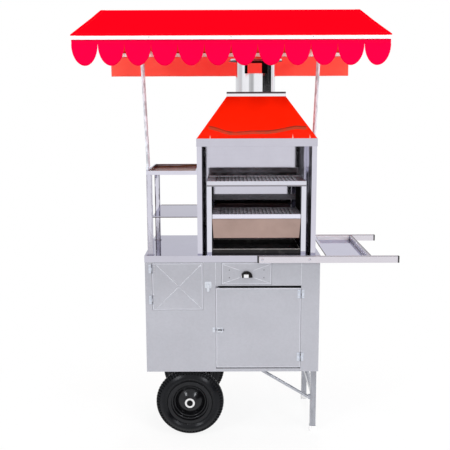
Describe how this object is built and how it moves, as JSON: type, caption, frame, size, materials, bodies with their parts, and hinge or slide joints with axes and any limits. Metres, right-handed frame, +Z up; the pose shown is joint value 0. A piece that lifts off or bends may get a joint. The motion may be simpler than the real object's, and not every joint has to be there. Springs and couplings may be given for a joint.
{
  "type": "barbecue cart",
  "caption": "Street barbecue cart: sheet cabinet on wheels and legs with doors, drawer, push handles and a tray, open grill housing with hood and chimney, shelves and a scalloped awning.",
  "frame": {"origin": "on the floor, under the middle of the whole cart's outline", "axes": "+Z up, +X along the cart towards the push handles, -Y towards the serving front"},
  "size_m": [1.562, 1.164, 2.216],
  "materials": {
    "galvanised_sheet": "dull galvanised",
    "stainless_sheet": "polished",
    "grill_steel": "polished",
    "hood_red": "gloss",
    "frame_steel": "silver paint",
    "fittings": "zinc plated",
    "bearing_steel": "bright",
    "rim_black": "satin",
    "tyre": "matte",
    "plug_black": "matte",
    "white_paint": "gloss",
    "red_canvas": "coated cloth"
  },
  "bodies": {
    "cart": {"cabinet_front_panel": "galvanised_sheet", "cabinet_back_panel": "galvanised_sheet", "cabinet_side_panels": "galvanised_sheet", "cabinet_floor": "galvanised_sheet", "countertop": "stainless_sheet", "drawer_runners": "galvanised_sheet", "frame_hinge_leaves": "fittings", "hinge_pins": "fittings", "latch_keepers": "fittings", "axle": "frame_steel", "axle_rings": "frame_steel", "axle_hangers": "frame_steel", "legs": "frame_steel", "leg_bracing": "frame_steel", "handle_bars": "stainless_sheet", "tray_ledges": "stainless_sheet", "handle_plugs": "plug_black", "handle_bolts": "fittings", "shelf_posts": "stainless_sheet", "top_shelf": "stainless_sheet", "lower_shelf": "stainless_sheet", "grill_corner_posts": "stainless_sheet", "grill_side_walls": "stainless_sheet", "grill_back_wall": "stainless_sheet", "hood_skirt": "stainless_sheet", "hood_shell": "hood_red", "hood_collar": "stainless_sheet", "chimney_pipe": "stainless_sheet", "chimney_cap": "stainless_sheet", "stand_legs": "grill_steel", "stand_upper_frame": "grill_steel", "grate_runners": "grill_steel", "firebox": "grill_steel", "awning_poles": "white_paint", "pole_sockets": "white_paint", "awning_rails": "white_paint", "awning_cross_frames": "white_paint", "awning_roof": "red_canvas", "front_valance": "red_canvas", "rear_valance": "red_canvas"},
    "front_wheel": {"front_tyre": "tyre", "front_rim": "rim_black", "front_bearings": "bearing_steel"},
    "rear_wheel": {"rear_tyre": "tyre", "rear_rim": "rim_black", "rear_bearings": "bearing_steel"},
    "small_door": {"small_door_panel": "galvanised_sheet", "small_door_hinge_leaves": "fittings"},
    "main_door": {"main_door_panel": "galvanised_sheet", "main_door_hinge_leaves": "fittings", "bolt_plate": "fittings"},
    "turn_latch": {"turn_latch_lever": "fittings"},
    "bolt": {"bolt_rod": "fittings"},
    "drawer": {"drawer_box": "galvanised_sheet", "drawer_front": "galvanised_sheet", "drawer_pull": "fittings"},
    "upper_grate": {"upper_grate": "grill_steel"},
    "lower_grate": {"lower_grate": "grill_steel"},
    "ash_tray": {"ash_tray": "stainless_sheet"},
    "side_tray": {"side_tray": "stainless_sheet"}
  },
  "joints": [
    {"name": "front_wheel_spin", "type": "hinge", "parent": "cart", "child": "front_wheel", "pos_m": [-0.285, -0.2435, 0.179], "axis": [0, 1, 0], "continuous": true},
    {"name": "rear_wheel_spin", "type": "hinge", "parent": "cart", "child": "rear_wheel", "pos_m": [-0.285, 0.2435, 0.179], "axis": [0, 1, 0], "continuous": true},
    {"name": "small_door_swing", "type": "hinge", "parent": "cart", "child": "small_door", "pos_m": [-0.46875, -0.2986, 0.815], "axis": [0, 0, -1], "range_deg": [0, 170]},
    {"name": "main_door_swing", "type": "hinge", "parent": "cart", "child": "main_door", "pos_m": [0.28975, -0.2986, 0.59375], "axis": [0, 0, 1], "range_deg": [0, 170]},
    {"name": "turn_latch_turn", "type": "hinge", "parent": "cart", "child": "turn_latch", "pos_m": [-0.184, -0.3019, 0.824], "axis": [0, 1, 0], "range_deg": [0, 90]},
    {"name": "bolt_slide", "type": "slide", "parent": "main_door", "child": "bolt", "axis": [-1, 0, 0], "range_m": [0, 0.016]},
    {"name": "drawer_slide", "type": "slide", "parent": "cart", "child": "drawer", "axis": [0, -1, 0], "range_m": [0, 0.3]},
    {"name": "upper_grate_lift", "type": "slide", "parent": "cart", "child": "upper_grate", "axis": [0, 0, 1], "range_m": [0, 0.12]},
    {"name": "lower_grate_slide", "type": "slide", "parent": "cart", "child": "lower_grate", "axis": [0, -1, 0], "range_m": [0, 0.2]},
    {"name": "ash_tray_slide", "type": "slide", "parent": "cart", "child": "ash_tray", "axis": [0, -1, 0], "range_m": [0, 0.25]},
    {"name": "side_tray_lift", "type": "slide", "parent": "cart", "child": "side_tray", "axis": [0, 0, 1], "range_m": [0, 0.15]}
  ]
}
